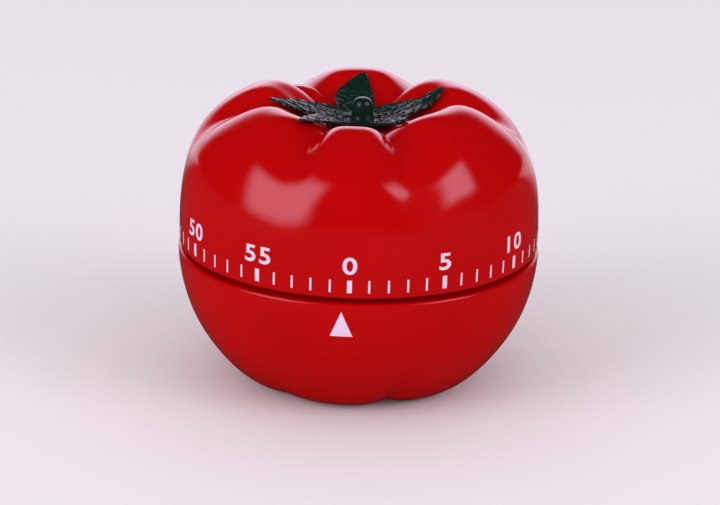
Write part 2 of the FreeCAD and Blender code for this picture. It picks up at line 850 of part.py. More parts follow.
# ---------------------------------------------------------------- train arbors
def train_arbor(place, pinion_module, pinion_phase, pinion_low, pinion_high):
    """Steel arbor with its pinion cut on it and a pivot at each end."""
    body = rod(arbor_radius, plate_top + end_shake, top_plate_low - end_shake, place)
    pivots = rod(pivot_radius, movement_height, top_plate_high, place)
    pinion = gear(pinion_teeth, pinion_module, pinion_shift, pinion_phase,
                  pinion_low - pinion_margin, pinion_high + pinion_margin, place)
    return fused([body, pivots, pinion])


def second_arbor():
    return train_arbor(second_place, main_module, gap_phase(main_place, second_place),
                       main_wheel_low, main_wheel_high)


def third_arbor():
    return train_arbor(third_place, second_module, gap_phase(second_place, third_place),
                       second_low, second_low + wheel_thickness)


def fourth_arbor():
    return train_arbor(fourth_place, third_module, gap_phase(third_place, fourth_place),
                       third_low, third_low + wheel_thickness)


def escape_arbor():
    return train_arbor(escape_place, fourth_module, gap_phase(fourth_place, escape_place),
                       fourth_low, fourth_low + wheel_thickness)


def second_wheel():
    return wheel(second_teeth, second_module, mesh_phase(second_place, third_place), second_low,
                 wheel_thickness, second_place, arbor_radius, 5)


def third_wheel():
    return wheel(third_teeth, third_module, mesh_phase(third_place, fourth_place), third_low,
                 wheel_thickness, third_place, arbor_radius, 4)


def fourth_wheel():
    return wheel(fourth_teeth, fourth_module, mesh_phase(fourth_place, escape_place), fourth_low,
                 wheel_thickness, fourth_place, arbor_radius, 4)


def ringing_star():
    """Star wheel that lifts the hammer's tail; a gap faces the tail pin."""
    phase = heading(second_place, tail_pin_place) + 180 / star_teeth
    return toothed_disc(star_teeth, star_radius, star_depth, phase, striker_low, striker_high,
                        second_place, arbor_radius)


def escape_wheel():
    """Escape wheel; each pallet pin stands a quarter pitch from a tooth."""
    quarter = 360 / escape_teeth / 4
    phase = heading(escape_place, pallet_place) + pallet_spread + quarter
    return toothed_disc(escape_teeth, escape_radius, escape_depth, phase, striker_low,
                        striker_high, escape_place, arbor_radius)


# ---------------------------------------------------------------- pallet lever
def pallet_arbor():
    body = rod(arbor_radius, plate_top + end_shake, top_plate_low - end_shake, pallet_place)
    return fused([body, rod(pivot_radius, movement_height, top_plate_high, pallet_place)])


def pallet_lever():
    """Anchor plate with two pallet pins and an inertia bar."""
    low, high = lever_low, lever_low + lever_thickness
    towards = heading(escape_place, pallet_place)
    reach = escape_radius + pallet_gap + pallet_pin_radius
    pieces = [rod(1.6, low, high, pallet_place)]
    for side in (-1, 1):
        pin_place = escape_place + at(reach, towards + side * pallet_spread)
        pieces.append(link(pallet_place, pin_place, 0.9, low, high))
        pieces.append(rod(pallet_pin_radius, striker_low + 0.1, high, pin_place))
        weight_place = pallet_place + at(inertia_reach, towards + side * 90)
        pieces.append(link(pallet_place, weight_place, 0.9, low, high))
        pieces.append(rod(1.0, low, high + 0.6, weight_place))
    return fused(pieces).cut(rod(arbor_radius, low - 1, high + 1, pallet_place))


# ---------------------------------------------------------------- hammer
arm_low = (bell_rim + movement_height) / 2 - 0.4
arm_high = arm_low + 0.8


def hammer_arbor():
    body = rod(arbor_radius, arm_low, top_plate_low - end_shake, hammer_place)
    return fused([body, rod(pivot_radius, top_plate_low - 1, top_plate_high, hammer_place)])


def hammer_arm():
    arm = link(hammer_place, head_place, 1.8, arm_low, arm_high)
    arm = arm.cut(rod(arbor_radius, arm_low - 1, arm_high + 1, hammer_place))
    return arm.cut(rod(0.6, arm_low - 1, arm_high + 1, head_place))


def hammer_head():
    weight = rod(hammer_head_radius, bell_floor + 0.45 * bell_height, arm_low, head_place)
    return fused([weight, rod(0.6, arm_low, arm_high, head_place)])


def hammer_tail():
    low, high = lever_low, lever_low + lever_thickness
    pieces = [rod(1.5, low, high, hammer_place),
              link(hammer_place, tail_pin_place, 1.0, low, high),
              rod(tail_pin_radius, striker_low + 0.1, high, tail_pin_place)]
    return fused(pieces).cut(rod(arbor_radius, low - 1, high + 1, hammer_place))


def coil(radius, wire, pitch, turns, low, centre):
    """Wire coil about a vertical line."""
    helix = Part.makeHelix(pitch, pitch * turns, radius)
    helix.translate(Vector(centre.x, centre.y, low))
    start = Vector(centre.x + radius, centre.y, low)
    section = Part.Wire(Part.makeCircle(wire, start, Vector(0, 1, pitch / (2 * math.pi * radius))))
    return Part.Wire(helix).makePipeShell([section], True, True)


def hammer_spring():
    return coil(arbor_radius + 0.55, 0.15, 0.4, 4, lever_low + lever_thickness + 0.5, hammer_place)


# ---------------------------------------------------------------- release lever
def release_pivot():
    low = cam_low - 0.3
    shaft = rod(arbor_radius, low, top_plate_high, release_place)
    return fused([shaft, rod(1.4, low - 0.5, low, release_place)])


def release_lever():
    low, high = cam_low + 0.1, cam_high - 0.2
    pieces = [rod(1.8, low, high, release_place),
              link(release_place, elbow_place, 2 * nose_radius, low, high),
              link(elbow_place, nose_place, 2 * nose_radius, low, high),
              link(release_place, release_end, 1.4, low, high)]
    return fused(pieces).cut(rod(arbor_radius + running_gap, low - 1, high + 1, release_place))


# ---------------------------------------------------------------- export
pieces = [upper_shell, lower_shell, calyx, stem, dial_screw, bell, bell_screw,
          bottom_plate, top_plate, plate_pillars, pillar_nuts, plate_screws,
          lower_bush, upper_bush, spring_post, mainspring,
          main_arbor, main_wheel, clutch_spring, retaining_clip, stop_cam,
          second_arbor, second_wheel, ringing_star, third_arbor, third_wheel,
          fourth_arbor, fourth_wheel, escape_arbor, escape_wheel,
          pallet_arbor, pallet_lever, hammer_arbor, hammer_arm, hammer_head, hammer_tail,
          hammer_spring, release_pivot, release_lever]

os.makedirs("parts", exist_ok=True)
for make in pieces:
    shape = make()
    solids = len(shape.Solids)
    print(make.__name__, solids, "solids", round(shape.Volume, 2), "mm3", shape.isValid())
    shape.exportStep("parts/" + make.__name__ + ".step")
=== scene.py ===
import json
import math

import bpy
from mathutils import Matrix, Vector, noise

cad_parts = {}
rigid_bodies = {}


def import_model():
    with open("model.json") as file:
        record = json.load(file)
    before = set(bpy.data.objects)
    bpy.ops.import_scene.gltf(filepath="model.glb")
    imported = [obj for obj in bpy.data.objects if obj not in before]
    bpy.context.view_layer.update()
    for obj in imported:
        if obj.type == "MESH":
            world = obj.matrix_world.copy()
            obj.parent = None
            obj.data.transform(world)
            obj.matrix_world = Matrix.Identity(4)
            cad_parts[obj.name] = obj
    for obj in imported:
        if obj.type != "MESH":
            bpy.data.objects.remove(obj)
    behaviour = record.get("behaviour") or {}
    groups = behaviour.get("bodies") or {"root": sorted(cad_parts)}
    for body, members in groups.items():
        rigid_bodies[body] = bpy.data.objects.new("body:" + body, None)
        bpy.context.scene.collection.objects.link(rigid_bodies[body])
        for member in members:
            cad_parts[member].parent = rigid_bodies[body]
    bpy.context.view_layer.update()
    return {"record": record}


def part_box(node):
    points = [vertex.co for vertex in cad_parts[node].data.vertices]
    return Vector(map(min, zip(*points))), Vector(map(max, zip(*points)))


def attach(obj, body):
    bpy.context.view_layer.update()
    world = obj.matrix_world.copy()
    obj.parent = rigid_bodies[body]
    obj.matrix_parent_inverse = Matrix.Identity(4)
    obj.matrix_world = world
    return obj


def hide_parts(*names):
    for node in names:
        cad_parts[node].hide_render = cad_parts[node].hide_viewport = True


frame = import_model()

MM = 0.001


# ---- Studio: a pale tabletop, a bright wall behind, a dark room in front and two softboxes.
# The wall gives the plastic its pale rims; the softboxes give it two broad highlights.
class Sock:
    """A node socket that does arithmetic: each operator adds a Math node."""

    def __init__(self, tree, link):
        self.tree = tree
        self.link = link

    def math(self, operation, *values):
        return self.tree.add("ShaderNodeMath", {"operation": operation}, *values)

    def __add__(self, other):
        return self.math("ADD", self, other)

    __radd__ = __add__

    def __sub__(self, other):
        return self.math("SUBTRACT", self, other)

    def __rsub__(self, other):
        return self.math("SUBTRACT", other, self)

    def __mul__(self, other):
        return self.math("MULTIPLY", self, other)

    __rmul__ = __mul__


class Tree:
    """Node tree of a material or a world, emptied and ready for nodes."""

    def __init__(self, owner):
        owner.use_nodes = True
        self.nodes = owner.node_tree.nodes
        self.links = owner.node_tree.links
        self.nodes.clear()

    def add(self, kind, settings, *values, out=0, **named):
        """Adds a node, sets its settings, then its sockets by order and by name."""
        node = self.nodes.new(kind)
        for name, value in settings.items():
            setattr(node, name, value)
        sockets = list(enumerate(values))
        sockets += [(name.replace("_", " "), value) for name, value in named.items()]
        for name, value in sockets:
            if isinstance(value, Sock):
                self.links.new(value.link, node.inputs[name])
            else:
                node.inputs[name].default_value = value
        return Sock(self, node.outputs[out]) if len(node.outputs) else None

    def blend(self, share, first, second):
        """Mixes two colours."""
        node = self.nodes.new("ShaderNodeMix")
        node.data_type = "RGBA"
        for place, value in ((0, share), (6, first), (7, second)):
            if isinstance(value, Sock):
                self.links.new(value.link, node.inputs[place])
            else:
                node.inputs[place].default_value = value
        return Sock(self, node.outputs[2])

    def grain(self, place, scale, detail):
        """Soft noise in object coordinates."""
        return self.add("ShaderNodeTexNoise", {}, Vector=place, Scale=scale, Detail=detail)


def coordinates(name):
    """New material, its tree and its object coordinates."""
    material = bpy.data.materials.new(name)
    tree = Tree(material)
    return material, tree, tree.add("ShaderNodeTexCoord", {}, out=3)


world = bpy.data.worlds.new("studio_room")
bpy.context.scene.world = world
room = Tree(world)
DARK_ROOM = 0.003
BRIGHT_WALL = 1.6
FILL = 0.68
direction = room.add("ShaderNodeTexCoord", {}, out=0)


def facing(place):
    """Cosine between a direction in the room and a place in it."""
    return room.add("ShaderNodeVectorMath", {"operation": "DOT_PRODUCT"}, direction, place, out=1)


def ramp(value, start, end):
    settings = {"interpolation_type": "SMOOTHSTEP"}
    return room.add("ShaderNodeMapRange", settings, value, start, end, 0.0, 1.0)


def panel(compass, rise, half_width, half_height, edge, brightness):
    """Soft-edged bright panel that only reflections see."""
    turn, lift = math.radians(compass), math.radians(rise)
    centre = Vector((math.sin(turn) * math.cos(lift), -math.cos(turn) * math.cos(lift),
                     math.sin(lift)))
    side = Vector((math.cos(turn), math.sin(turn), 0))
    ahead = facing(centre)
    across = room.add("ShaderNodeMath", {"operation": "ABSOLUTE"}, facing(side))
    upwards = room.add("ShaderNodeMath", {"operation": "ABSOLUTE"}, facing(centre.cross(side)))
    inside = ramp(across, half_width + edge, half_width - edge)
    inside = inside * ramp(upwards, half_height + edge, half_height - edge)
    return brightness * (inside * ramp(ahead, 0.0, 0.2))


WALL_EDGE, WALL_FULL = 0.76, 0.965
WALL_TOP, WALL_TOP_FULL = 0.55, 0.30
backwards = facing((-0.06, 0.985, 0.16))
upwards = facing((0, 0, 1))
wall = ramp(backwards, WALL_EDGE, WALL_FULL) * ramp(upwards, WALL_TOP, WALL_TOP_FULL)
mirrored = DARK_ROOM + BRIGHT_WALL * wall
mirrored = mirrored + panel(compass=-51, rise=25, half_width=0.29, half_height=0.38,
                            edge=0.13, brightness=2.6)
mirrored = mirrored + panel(compass=69, rise=33, half_width=0.23, half_height=0.29,
                            edge=0.09, brightness=2.9)
scattered = room.add("ShaderNodeLightPath", {}, out=2)
strength = mirrored + (FILL - mirrored) * scattered
white = room.blend(scattered, (1.15, 0.95, 1.2, 1), (1.0, 0.965, 0.99, 1))
studio = room.add("ShaderNodeBackground", {}, white, strength)
backdrop = room.add("ShaderNodeBackground", {}, (0.93, 0.93, 0.935, 1), 1.0)
seen = room.add("ShaderNodeLightPath", {}, out=0)
mixed = room.add("ShaderNodeMixShader", {}, seen, studio, backdrop)
room.add("ShaderNodeOutputWorld", {}, mixed)
bpy.context.scene.view_settings.view_transform = "Standard"


def deselect():
    if bpy.context.object and bpy.context.object.mode != "OBJECT":
        bpy.ops.object.mode_set(mode="OBJECT")
    bpy.ops.object.select_all(action="DESELECT")


def softbox(name, compass, height, distance, size, power):
    """Square soft light that faces the object from a compass angle and an elevation."""
    turn, rise = math.radians(compass), math.radians(height)
    place = Vector((math.sin(turn) * math.cos(rise), -math.cos(turn) * math.cos(rise),
                    math.sin(rise))) * distance
    bpy.ops.object.light_add(type="AREA", location=place + Vector((0, 0, 0.035)))
    lamp = bpy.context.object
    lamp.name = name
    lamp.data.shape = "RECTANGLE"
    lamp.data.size, lamp.data.size_y = size
    lamp.data.energy = power
    lamp.data.color = (1.0, 0.97, 0.98)
    lamp.visible_glossy = False
    lamp.rotation_euler = place.to_track_quat("Z", "Y").to_euler()
    return lamp


deselect()
softbox("softbox_left", compass=-50, height=14, distance=0.62, size=(0.42, 0.46), power=1.25)
softbox("softbox_right", compass=58, height=18, distance=0.66, size=(0.40, 0.44), power=1.05)

deselect()
bpy.ops.mesh.primitive_plane_add(size=6, location=(0, 0, 0))
floor = bpy.context.object
floor.name = "tabletop"
# Painted reflection: glossy rays see the tabletop painted dark in front and at the sides and pale
# behind, which puts a painted dark reflection on the shell's lower body; the camera and diffuse
# rays see it evenly pale.
FAR_START, FAR_END, SPREAD = 0.05, 0.15, 0.8
floor_finish, tree, place = coordinates("pale_tabletop_painted_reflection")
pale = tree.add("ShaderNodeBsdfDiffuse", {}, (0.84, 0.84, 0.845, 1))
behind = tree.add("ShaderNodeSeparateXYZ", {}, place, out=1)
aside = tree.add("ShaderNodeSeparateXYZ", {}, place, out=0)
aside = tree.add("ShaderNodeMath", {"operation": "ABSOLUTE"}, aside)
far = tree.add("ShaderNodeMapRange", {"interpolation_type": "SMOOTHSTEP"},
               behind - SPREAD * aside, FAR_START, FAR_END, 0.0, 1.0)
painted_reflection_tone = tree.blend(far, (0.05, 0.05, 0.05, 1), (0.95, 0.9, 0.93, 1))
painted_reflection_floor = tree.add("ShaderNodeBsdfDiffuse", {}, painted_reflection_tone)
mirrored = tree.add("ShaderNodeLightPath", {}, out=3)
surface = tree.add("ShaderNodeMixShader", {}, mirrored, pale, painted_reflection_floor)
tree.add("ShaderNodeOutputMaterial", {}, surface)
floor.data.materials.append(floor_finish)

# Camera, a long lens a little above the object
AIM_HEIGHT = 0.0304
AIM_DROP = 0.00524
AIM_RIGHT = 0.00036
DISTANCE = 0.5964
compass, rise = math.radians(4.7), math.radians(18.706)
ROLL = math.radians(1.394)
outward = Vector((math.sin(compass) * math.cos(rise), -math.cos(compass) * math.cos(rise),
                  math.sin(rise)))
up = Vector((-math.sin(compass) * math.sin(rise), math.cos(compass) * math.sin(rise),
             math.cos(rise)))
eye = Vector((0, 0, AIM_HEIGHT)) + outward * DISTANCE
sideways = Vector((math.cos(compass), math.sin(compass), 0))
target = Vector((0, 0, AIM_HEIGHT)) - up * AIM_DROP + sideways * AIM_RIGHT
bpy.ops.object.camera_add(location=eye)
camera = bpy.context.object
camera.data.lens = 149.6
camera.data.sensor_width = 36
camera.data.clip_start = 0.01
look = (eye - target).to_track_quat("Z", "Y").to_matrix()
turn = math.cos(ROLL), math.sin(ROLL)
right = look.col[0] * turn[0] + look.col[1] * turn[1]
above = look.col[1] * turn[0] - look.col[0] * turn[1]
look.col[0], look.col[1] = right, above
camera.rotation_euler = look.to_euler()
bpy.context.scene.camera = camera


# ---- The tomato skin: two moulded shells of glossy red ABS, each swept round the axis
# from meridians that swell to a crest in the middle of a lobe and sink at its creases.
ring_low, ring_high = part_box("upper_shell")
BELT = 35.6
PARTING = ring_low.z / MM
CROWN_RISE = 25.0
WALL = 2.0
UPPER_CREASES = [-20.3, 21.5, 98.0, 156.7, 217.0, 228.0, 276.7]
UPPER_HEIGHTS = [0.82, 1.3, 1.04, 1.03, 0.25, 1.05, 0.92]
UPPER_SOFT = [1, 1, 1, 1, 1, 0.8, 0.3, 0, 0]
CREST = [(1.0, 0.0), (1.004, 0.18), (1.0, 0.40), (0.975, 0.70), (0.865, 0.985),
         (0.602, 1.205), (0.434, 1.145), (0.322, 0.99)]
CREASE = [(1.0, 0.0), (1.004, 0.18), (0.998, 0.40), (0.963, 0.69), (0.825, 0.955),
          (0.532, 1.064), (0.392, 1.03), (0.308, 0.98)]
CROWN_RADIUS = 7.5
CROWN_SINK = 0.9
CROWN = PARTING + CROWN_RISE - CROWN_SINK
LOBE_ROUNDNESS = 3.0
COLUMNS = 300
EDGE_BREAK = 0.18
BOSS_RADIUS, BOSS_LENGTH = 5.5, 13.0
ARBOR_BORE, SCREW_BORE, HEAD_BORE = 2.06, 1.06, 2.46
WEB_BOTTOM, WEB_TOP, BOSS_STEP = CROWN - 3.0, CROWN - 1.36, CROWN - 2.0


def spline(poles, t):
    """Point on a clamped uniform cubic B-spline."""
    spans = len(poles) - 3
    knots = [0.0] * 3 + [i / spans for i in range(spans + 1)] + [1.0] * 3
    k = min(int(t * spans), spans - 1) + 3
    points = [poles[k - 3 + j] for j in range(4)]
    for level in range(1, 4):
        for j in range(3, level - 1, -1):
            low = knots[k - 3 + j]
            high = knots[k + 1 + j - level]
            share = (t - low) / (high - low)
            points[j] = tuple(a + (b - a) * share for a, b in zip(points[j - 1], points[j]))
    return points[3]


def mix(a, b, share):
    return tuple(p + (q - p) * share for p, q in zip(a, b))


def lobe_poles(crest, crease, height, depths, soft, share):
    """Meridian poles part way across a lobe: sharp creases near the crown, soft ones below."""
    depth = depths[0] + (depths[1] - depths[0]) * share
    sharp = 1 - abs(2 * share - 1) ** LOBE_ROUNDNESS
    bow = 4 * share * (1 - share)
    rounded = bow * bow * (3 - 2 * bow)
    poles = []
    for top, bottom, softness in zip(crest, crease, soft):
        rise = sharp + (rounded - sharp) * softness
        peak = mix(bottom, top, height)
        poles.append(mix(mix(top, bottom, depth), peak, rise))
    return poles


def inset(profile, wall):
    """Meridian poles moved inwards by the wall."""
    upward = 1 if profile[-1][1] > profile[0][1] else -1
    moved = [(profile[0][0] - wall, profile[0][1])]
    for before, (r, z), after in zip(profile, profile[1:], profile[2:]):
        run = (after[0] - before[0], after[1] - before[1])
        size = math.hypot(*run)
        moved.append((r - upward * run[1] / size * wall, z + upward * run[0] / size * wall))
    return moved + [(profile[-1][0], profile[-1][1] - upward * wall)]


def columns(creases, per_turn):
    """(lobe, share across it, compass angle) of each column round the skin."""
    places = []
    for lobe, start in enumerate(creases):
        end = (creases + [creases[0] + 360])[lobe + 1]
        count = max(14, round((end - start) / 360 * per_turn))
        for i in range(count):
            even = i / count
            share = 0.5 * even + 0.25 * (1 - math.cos(math.pi * even))
            places.append((lobe, share, start + (end - start) * share))
    return places


def wrapped(name, places, meridians):
    """Closed mesh swept round the axis: meridians[i] is the loop of (r, z) at places[i]."""
    rows = len(meridians[0])
    deselect()
    bpy.ops.mesh.primitive_grid_add(x_subdivisions=len(places), y_subdivisions=rows, size=1)
    piece = bpy.context.object
    piece.name = piece.data.name = name
    per_row = len(places) + 1
    for vertex in piece.data.vertices:
        row, column = divmod(vertex.index, per_row)
        angle = math.radians(places[column % len(places)][2])
        r, z = meridians[column % len(places)][row % rows]
        vertex.co = Vector((r * math.sin(angle), -r * math.cos(angle), z)) * MM
    bpy.ops.object.mode_set(mode="EDIT")
    bpy.ops.mesh.select_all(action="SELECT")
    bpy.ops.mesh.remove_doubles(threshold=1e-7)
    bpy.ops.mesh.normals_make_consistent(inside=False)
    bpy.ops.object.mode_set(mode="OBJECT")
    bpy.ops.object.shade_smooth_by_angle(angle=math.radians(32))
    return piece


STEPS = 84
ROWS = [i / STEPS for i in range(STEPS + 1)]


def upper_poles(lobe, share, wall=0.0):
    """Poles of one meridian of the dial's skin, or of its lining a wall further in."""
    crest, crease = ([(r * BELT, PARTING + z * CROWN_RISE) for r, z in shares]
                     + [(CROWN_RADIUS, CROWN)] for shares in (CREST, CREASE))
    if wall:
        crest, crease = inset(crest, wall), inset(crease, wall)
    return lobe_poles(crest, crease, UPPER_HEIGHTS[lobe], (1, 1), UPPER_SOFT, share)


def upper_meridian(lobe, share):
    """Closed outline of the upper shell: skin, edge, inside, boss and screw recess."""
    skin, lining = upper_poles(lobe, share), upper_poles(lobe, share, WALL)
    outside = [spline(skin, t) for t in ROWS]
    inside = [spline(lining, t) for t in reversed(ROWS)]
    r, z = outside[0]
    outside[0] = (r, z + EDGE_BREAK)
    edge = [(r - 0.3 * EDGE_BREAK, z + 0.3 * EDGE_BREAK), (r - EDGE_BREAK, z),
            (r - WALL + EDGE_BREAK, z)]
    inside[-1] = (r - WALL, z + EDGE_BREAK)
    boss_end = CROWN - BOSS_LENGTH
    boss = [(BOSS_RADIUS, BOSS_STEP), (BOSS_RADIUS, boss_end), (ARBOR_BORE, boss_end),
            (ARBOR_BORE, WEB_BOTTOM), (SCREW_BORE, WEB_BOTTOM), (SCREW_BORE, WEB_TOP),
            (HEAD_BORE, WEB_TOP), (HEAD_BORE, CROWN)]
    return list(reversed(outside)) + edge + list(reversed(inside)) + boss


places = columns(UPPER_CREASES, COLUMNS)
upper = wrapped("dial_shell", places, [upper_meridian(lobe, share) for lobe, share, _ in places])
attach(upper, "dial")
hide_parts("upper_shell")


def red_plastic():
    """Glossy self-coloured ABS: faint flow marks in the colour, moulding ripple in the gloss."""
    material, tree, place = coordinates("red_abs")
    cloud = tree.grain(place, 60.0, 3.0)
    deep, bright = (0.41, 0.0003, 0.0008, 1), (0.46, 0.0005, 0.0012, 1)
    colour = tree.blend(cloud, deep, bright)
    fine = tree.grain(place, 900.0, 2.0)
    gloss = 0.09 + 0.04 * cloud + 0.02 * fine
    ripple = tree.grain(place, 420.0, 1.0)
    bump = tree.add("ShaderNodeBump", {}, 0.05, 0.00012, Height=ripple)
    shell = tree.add("ShaderNodeBsdfPrincipled", {}, colour, 0.0, gloss, Normal=bump)
    tree.add("ShaderNodeOutputMaterial", {}, shell)
    return material


red_abs = red_plastic()
upper.data.materials.append(red_abs)

# ---- Lower shell: same moulding, standing on a flat foot, with a rounded rim and an inner lip that runs inside the dial. Its floor has a post with a screw hole.
LOWER_CREASES = [21.5, 87.7, 147.7, 207.7, 267.7, 327.7]
LOWER_DEPTHS = [1.0, 0.4, 0.4, 0.4, 0.4, 0.4]
LOWER_CREST = [(1.003, 0.82), (0.969, 0.607), (0.887, 0.375), (0.741, 0.129),
               (0.600, -0.004), (0.490, 0.0)]
LOWER_CREASE = [(1.003, 0.82), (0.969, 0.607), (0.878, 0.38), (0.719, 0.154),
                (0.560, 0.032), (0.476, 0.011)]
LOWER_SOFT = [1, 1, 1, 0.5, 0, 0, 0, 0]
RIM_RADIUS = BELT + 0.3
RIM_HEIGHT = PARTING - 1.2
LIP_OUTER = BELT - WALL - 0.6
LIP_INNER = LIP_OUTER - 1.5
LIP_TOP = PARTING + 2.4
LIP_BREAK = 0.2
FOOT = 16.0
RIM_ROUND, RIM_STEPS = 0.55, 6
POST_RADIUS, POST_HEIGHT, SCREW_HOLE = 3.2, 4.6, 1.0


def lower_poles(lobe, share, wall=0.0):
    """Poles of one meridian of the base's skin, or of its lining a wall further in."""
    crest, crease = ([(RIM_RADIUS, RIM_HEIGHT)] + [(r * BELT, z * PARTING) for r, z in shares]
                     + [(FOOT, 0.0)] for shares in (LOWER_CREST, LOWER_CREASE))
    if wall:
        crest, crease = inset(crest, wall), inset(crease, wall)
    depths = (LOWER_DEPTHS[lobe], LOWER_DEPTHS[(lobe + 1) % len(LOWER_CREASES)])
    return lobe_poles(crest, crease, 1.0, depths, LOWER_SOFT, share)


def below(points, height):
    """Points of a falling outline from where it first passes below a height."""
    return points[next(i for i, (r, z) in enumerate(points) if z < height):]


def lower_meridian(lobe, share):
    """Closed outline of the lower shell: foot, skin, rounded rim, lip, inside, floor.
    The first skin and lining points are repeated, so that every outline has as many."""
    skin, lining = lower_poles(lobe, share), lower_poles(lobe, share, WALL)
    ceiling = RIM_HEIGHT - WALL
    skin = below([spline(skin, t) for t in ROWS], RIM_HEIGHT - RIM_ROUND)
    walls = below([(r, min(z, ceiling)) for r, z in (spline(lining, t) for t in ROWS)], ceiling)
    rim = []
    for i in range(RIM_STEPS + 1):
        turn = math.radians(90 * i / RIM_STEPS)
        rim.append((skin[0][0] - RIM_ROUND * (1 - math.cos(turn)),
                    RIM_HEIGHT - RIM_ROUND * (1 - math.sin(turn))))
    lip = [(LIP_OUTER + 0.3, RIM_HEIGHT), (LIP_OUTER, RIM_HEIGHT + 0.3),
           (LIP_OUTER, PARTING + 2.2), (LIP_OUTER - LIP_BREAK, LIP_TOP),
           (LIP_INNER, LIP_TOP), (LIP_INNER, ceiling)]
    floor = [(POST_RADIUS, WALL), (POST_RADIUS, POST_HEIGHT), (SCREW_HOLE, POST_HEIGHT),
             (SCREW_HOLE, 0.0)]
    skin_up = list(reversed(skin)) + [skin[0]] * (len(ROWS) - len(skin))
    return skin_up + rim + lip + [walls[0]] * (len(ROWS) - len(walls)) + walls + floor


lower_places = columns(LOWER_CREASES, COLUMNS)
lower = wrapped("base_shell", lower_places,
                [lower_meridian(lobe, share) for lobe, share, _ in lower_places])
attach(lower, "base")
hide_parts("lower_shell")
lower.data.materials.append(red_abs)

# ---- Scale and pointer: pad-printed in one pass of white ink with a faint lilac cast.
# Sixty ticks stand on the dial's edge, a bold figure at every fifth, and a triangle points up.
PRINT_RADIUS = BELT
INK = 0.05
WIDE_TICK, NARROW_TICK = 0.92, 0.38
ZERO = 2.3
TICK_LOW, TICK_HIGH = PARTING + 1.1, PARTING + 3.6
FIGURE_MIDDLE = PARTING + 6.45
FIGURE_SIZE = 4.95
FIGURE_STRETCH = Matrix.Diagonal((1.17, 0.92, 1))


def lobe_at(creases, angle):
    """Lobe of a shell at a compass angle, and the share across it."""
    angle = (angle - creases[0]) % 360 + creases[0]
    ends = creases + [creases[0] + 360]
    lobe = next(i for i in range(len(creases)) if angle <= ends[i + 1])
    return lobe, (angle - ends[lobe]) / (ends[lobe + 1] - ends[lobe])


def halved(low, high, times, before):
    """Closes in on the parameter where a test stops being true."""
    for _ in range(times):
        middle = (low + high) / 2
        if before(middle):
            low = middle
        else:
            high = middle
    return low


def skin_radius(creases, poles_at, angle, z):
    """Radius of a shell's skin at a compass angle and a height."""
    poles = poles_at(*lobe_at(creases, angle))
    rising = poles[-1][1] > poles[0][1]
    return spline(poles, halved(0.0, 0.6, 18, lambda t: (spline(poles, t)[1] < z) == rising))[0]


def cut_lines(span_x, span_z, pitch):
    """Bisects the flat print so that it can bend round the shell."""
    bpy.ops.object.mode_set(mode="EDIT")
    for axis, (low, high) in ((0, span_x), (1, span_z)):
        place = low + pitch
        while place < high:
            bpy.ops.mesh.select_all(action="SELECT")
            point = [0, 0, 0]
            point[axis] = place * MM
            normal = [0, 0, 0]
            normal[axis] = 1
            bpy.ops.mesh.bisect(plane_co=point, plane_no=normal)
            place += pitch
    bpy.ops.object.mode_set(mode="OBJECT")


def printed(piece, creases, poles_at):
    """Wraps flat print round a shell and gives the ink its thickness."""
    for vertex in piece.data.vertices:
        angle = math.degrees(vertex.co.x / MM / PRINT_RADIUS)
        r = skin_radius(creases, poles_at, angle, vertex.co.y / MM) + 0.6 * INK
        turn = math.radians(angle)
        vertex.co = Vector((r * math.sin(turn), -r * math.cos(turn), vertex.co.y / MM)) * MM
    thick = piece.modifiers.new("ink", "SOLIDIFY")
    thick.thickness, thick.offset = INK * MM, -1
    bpy.ops.object.modifier_apply(modifier="ink")


def flat_at(piece, angle):
    """Moves flat print to its place along the unrolled belt."""
    bpy.ops.object.mode_set(mode="EDIT")
    bpy.ops.mesh.select_all(action="SELECT")
    bpy.ops.transform.translate(value=(math.radians(angle) * PRINT_RADIUS * MM, 0, 0))
    bpy.ops.object.mode_set(mode="OBJECT")


marks = []
for fifth in range(12):
    deselect()
    bpy.ops.object.text_add(location=(0, 0, 0))
    figure = bpy.context.object
    figure.data.body = str(5 * fifth)
    figure.data.size = FIGURE_SIZE * MM
    figure.data.offset = 0.1 * MM
    figure.data.space_character = 1.14
    figure.data.align_x, figure.data.align_y = "CENTER", "CENTER"
    bpy.ops.object.convert(target="MESH")
    figure = bpy.context.object
    xs = [vertex.co.x for vertex in figure.data.vertices]
    ys = [vertex.co.y for vertex in figure.data.vertices]
    centre = Vector(((min(xs) + max(xs)) / 2, (min(ys) + max(ys)) / 2, 0))
    for vertex in figure.data.vertices:
        vertex.co = FIGURE_STRETCH @ (vertex.co - centre) + Vector((0, FIGURE_MIDDLE, 0)) * MM
    cut_lines((-3.0, 3.0), (FIGURE_MIDDLE - 2, FIGURE_MIDDLE + 2), 0.5)
    flat_at(figure, ZERO + 30 * fifth)
    marks.append(figure)

for minute in range(60):
    width = NARROW_TICK if minute % 5 else WIDE_TICK
    deselect()
    bpy.ops.mesh.primitive_grid_add(x_subdivisions=2, y_subdivisions=5, size=1)
    tick = bpy.context.object
    bpy.ops.object.mode_set(mode="EDIT")
    bpy.ops.transform.resize(value=(width * MM, (TICK_HIGH - TICK_LOW) * MM, 1))
    bpy.ops.transform.translate(value=(0, (TICK_HIGH + TICK_LOW) / 2 * MM, 0))
    bpy.ops.object.mode_set(mode="OBJECT")
    flat_at(tick, ZERO + 6 * minute)
    marks.append(tick)

deselect()
for mark in marks:
    mark.select_set(True)
bpy.context.view_layer.objects.active = marks[0]
bpy.ops.object.join()
scale_print = bpy.context.object
scale_print.name = scale_print.data.name = "dial_scale_print"
printed(scale_print, UPPER_CREASES, upper_poles)
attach(scale_print, "dial")

